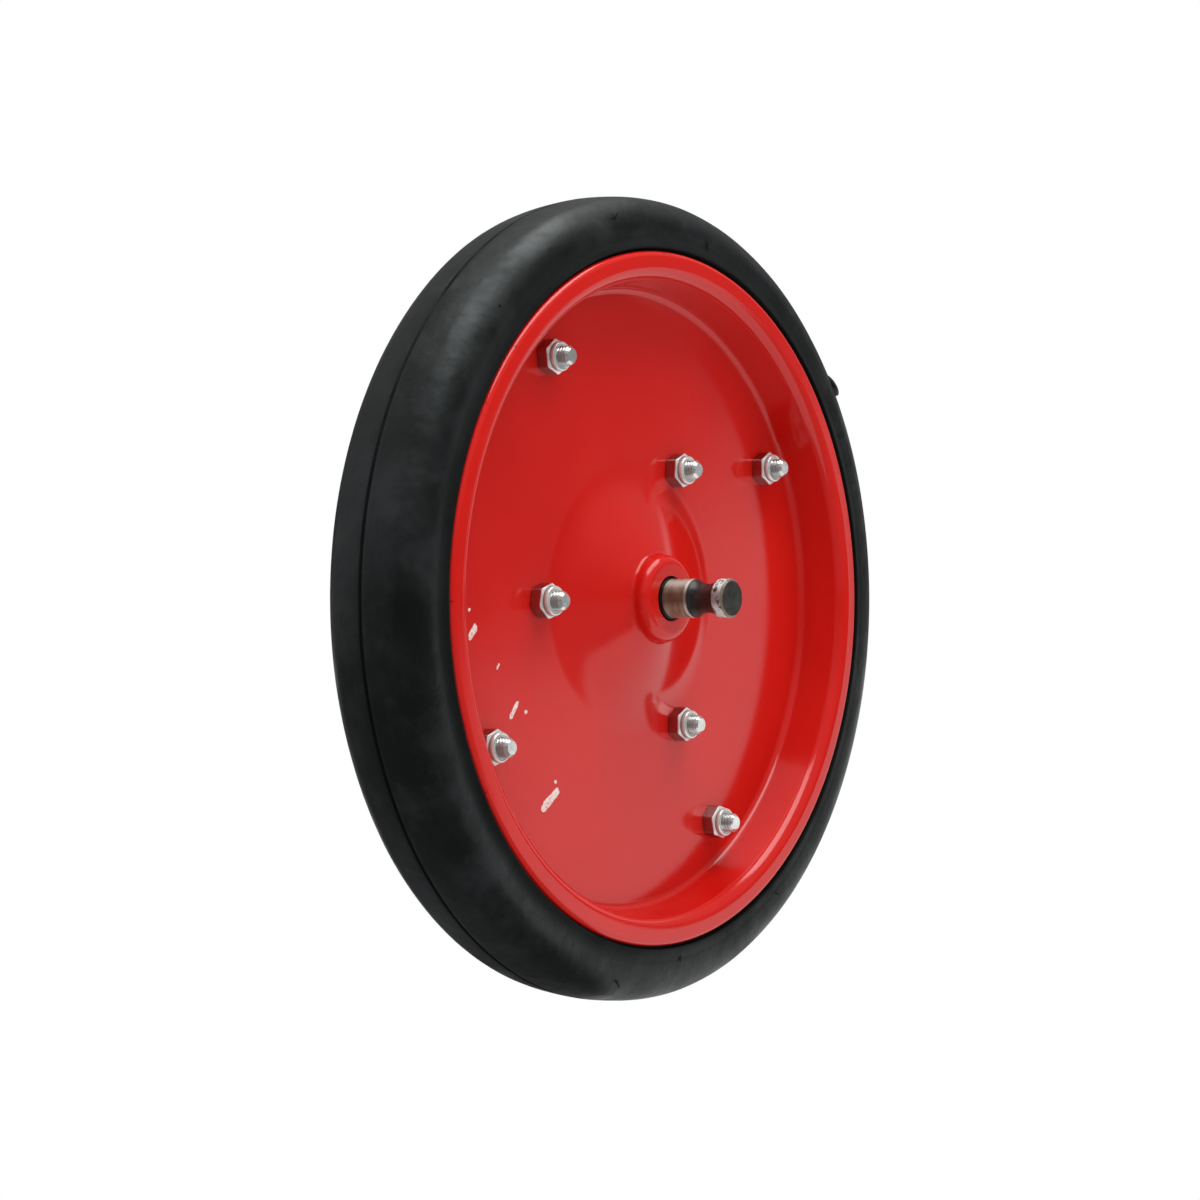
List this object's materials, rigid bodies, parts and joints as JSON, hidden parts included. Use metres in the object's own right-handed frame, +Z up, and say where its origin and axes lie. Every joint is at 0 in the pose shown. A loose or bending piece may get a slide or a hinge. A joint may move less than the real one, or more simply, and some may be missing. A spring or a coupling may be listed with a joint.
{
  "type": "planter press wheel",
  "caption": "Planter press wheel: a smooth black rubber tyre clamped between bolted red pressed-steel half rims, turning on a sealed ball bearing with a grooved stub axle.",
  "frame": {"origin": "middle of the wheel: on the axle's axis, on the mid-plane of the tyre where the two half rims meet", "axes": "+Y along the axle, away from its free end, so the stub points to -Y; +Z up in the picture; +X to the right when the side with the stub is faced"},
  "size_m": [0.3302, 0.0774, 0.3302],
  "materials": {
    "tyre_rubber": "satin black, slightly dusty",
    "rim_paint": "gloss red enamel",
    "axle_steel": "turned steel, lightly rusted and worn",
    "bearing_steel": "ground",
    "cage_nylon": "moulded",
    "seal_steel": "pressed sheet",
    "seal_rubber": "moulded",
    "zinc_steel": "bright zinc plate",
    "insert_nylon": "clear white nylon"
  },
  "bodies": {
    "axle": {"axle_shaft": "axle_steel"},
    "wheel": {"tyre": "tyre_rubber", "front_half_rim": "rim_paint", "rear_half_rim": "rim_paint", "bearing_outer_ring": "bearing_steel", "front_seal_case": "seal_steel", "rear_seal_case": "seal_steel", "front_seal_lip": "seal_rubber", "rear_seal_lip": "seal_rubber", "rim_bolts": "zinc_steel", "rim_lock_nuts": "zinc_steel", "rim_nut_inserts": "insert_nylon", "hub_bolts": "zinc_steel", "hub_lock_nuts": "zinc_steel", "hub_nut_inserts": "insert_nylon"},
    "front_ball_set": {"front_ball_row": "bearing_steel", "front_ball_cage": "cage_nylon"},
    "rear_ball_set": {"rear_ball_row": "bearing_steel", "rear_ball_cage": "cage_nylon"}
  },
  "joints": [
    {"name": "wheel_spin", "type": "hinge", "parent": "axle", "child": "wheel", "pos_m": [0, 0, 0], "axis": [0, 1, 0], "continuous": true},
    {"name": "front_ball_set_spin", "type": "hinge", "parent": "axle", "child": "front_ball_set", "pos_m": [0, -0.0085, 0], "axis": [0, 1, 0], "continuous": true},
    {"name": "rear_ball_set_spin", "type": "hinge", "parent": "axle", "child": "rear_ball_set", "pos_m": [0, 0.0085, 0], "axis": [0, 1, 0], "continuous": true}
  ],
  "couplings": [
    {"joint": "front_ball_set_spin", "follows": "wheel_spin", "ratio": 0.62745},
    {"joint": "rear_ball_set_spin", "follows": "wheel_spin", "ratio": 0.62745}
  ]
}
